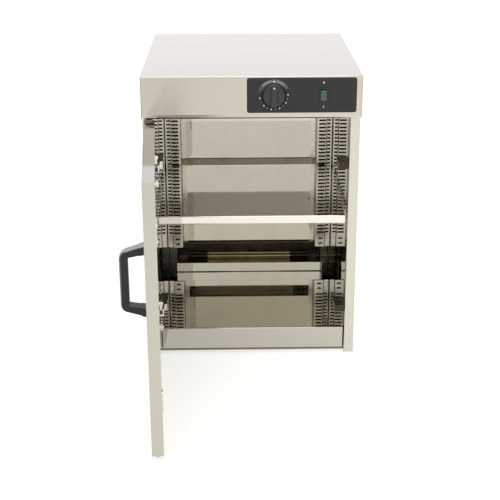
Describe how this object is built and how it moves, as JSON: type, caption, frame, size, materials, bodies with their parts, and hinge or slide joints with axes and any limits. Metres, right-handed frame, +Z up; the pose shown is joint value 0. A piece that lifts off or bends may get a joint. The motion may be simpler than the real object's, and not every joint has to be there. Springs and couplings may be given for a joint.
{
  "type": "plate warmer cabinet",
  "caption": "Free-standing heated cabinet in stainless sheet with a side-hung door, lift-out shelf, slotted rear columns, thermostat knob and rocker switch.",
  "frame": {"origin": "middle of the flat top's upper face, 560 mm above the surface that the feet stand on", "axes": "+Z up, +Y from the door to the back cover, +X to the right as seen from the front"},
  "size_m": [0.4157, 0.8345, 0.56],
  "materials": {
    "brushed_shell": "brushed stainless sheet, fine vertical grain",
    "polished_liner": "bright-annealed stainless, nearly a mirror",
    "satin_sheet": "satin stainless",
    "dark_sheet": "heat-tinted steel",
    "reflector": "anodised aluminium, bronze tint",
    "element_sheath": "oxidised alloy sheath",
    "brass": "plain",
    "plated_steel": "nickel plated, smooth",
    "black_plastic": "moulded black plastic, satin",
    "fascia": "dark grey print under clear film",
    "rubber": "black rubber",
    "pale_plastic": "pale moulded plastic",
    "foam": "insulating foam",
    "copper": "copper",
    "lens": "green translucent plastic",
    "sleeve": "glass-fibre sleeving"
  },
  "bodies": {
    "cabinet": {"hood": "brushed_shell", "side_panel_left": "brushed_shell", "side_panel_right": "brushed_shell", "back_cover": "brushed_shell", "base_pan": "satin_sheet", "liner_left": "polished_liner", "liner_right": "polished_liner", "liner_top": "polished_liner", "floor_pan": "polished_liner", "rear_wall": "polished_liner", "column_left": "polished_liner", "column_right": "polished_liner", "heater_guard": "satin_sheet", "heater_tray": "dark_sheet", "reflector_plate": "reflector", "heating_element": "element_sheath", "element_saddles": "plated_steel", "element_terminals": "brass", "shelf_bracket_left": "satin_sheet", "shelf_bracket_right": "satin_sheet", "hinge_plates": "plated_steel", "hinge_arms": "plated_steel", "plate_screws": "plated_steel", "magnet_catches": "plated_steel", "catch_screws": "plated_steel", "feet": "rubber", "cable_gland": "black_plastic", "gland_nut": "black_plastic", "terminal_block": "pale_plastic", "control_fascia": "fascia", "thermostat_body": "pale_plastic", "thermostat_screws": "plated_steel", "thermostat_bulb": "copper", "bulb_clips": "plated_steel", "safety_cutout": "plated_steel", "switch_housing": "black_plastic", "rocker_pin": "plated_steel", "back_screws": "plated_steel", "ceiling_screws": "plated_steel", "wiring_loom": "sleeve"},
    "door": {"door_outer_skin": "brushed_shell", "door_inner_skin": "polished_liner", "door_core": "foam", "handle": "black_plastic", "handle_screws": "plated_steel", "door_foot": "pale_plastic", "hinge_cups": "plated_steel", "hinge_pins": "plated_steel", "cup_screws": "plated_steel", "strike_plates": "plated_steel", "strike_screws": "plated_steel"},
    "thermostat_knob": {"knob": "black_plastic", "thermostat_spindle": "plated_steel"},
    "rocker_switch": {"rocker": "black_plastic", "rocker_lens": "lens"},
    "lift_out_shelf": {"shelf": "satin_sheet"}
  },
  "joints": [
    {"name": "door_hinge", "type": "hinge", "parent": "cabinet", "child": "door", "pos_m": [-0.1872, -0.21615, -0.3182], "axis": [0, 0, 1], "range_deg": [-13.64, 86.36]},
    {"name": "thermostat_turn", "type": "hinge", "parent": "cabinet", "child": "thermostat_knob", "pos_m": [0.0399, -0.23275, -0.0354], "axis": [0, 1, 0], "range_deg": [0, 270]},
    {"name": "rocker_tilt", "type": "hinge", "parent": "cabinet", "child": "rocker_switch", "pos_m": [0.1296, -0.22475, -0.034], "axis": [1, 0, 0], "range_deg": [-16, 0]},
    {"name": "shelf_lift", "type": "slide", "parent": "cabinet", "child": "lift_out_shelf", "axis": [0, 0, 1], "range_m": [0, 0.045]}
  ]
}
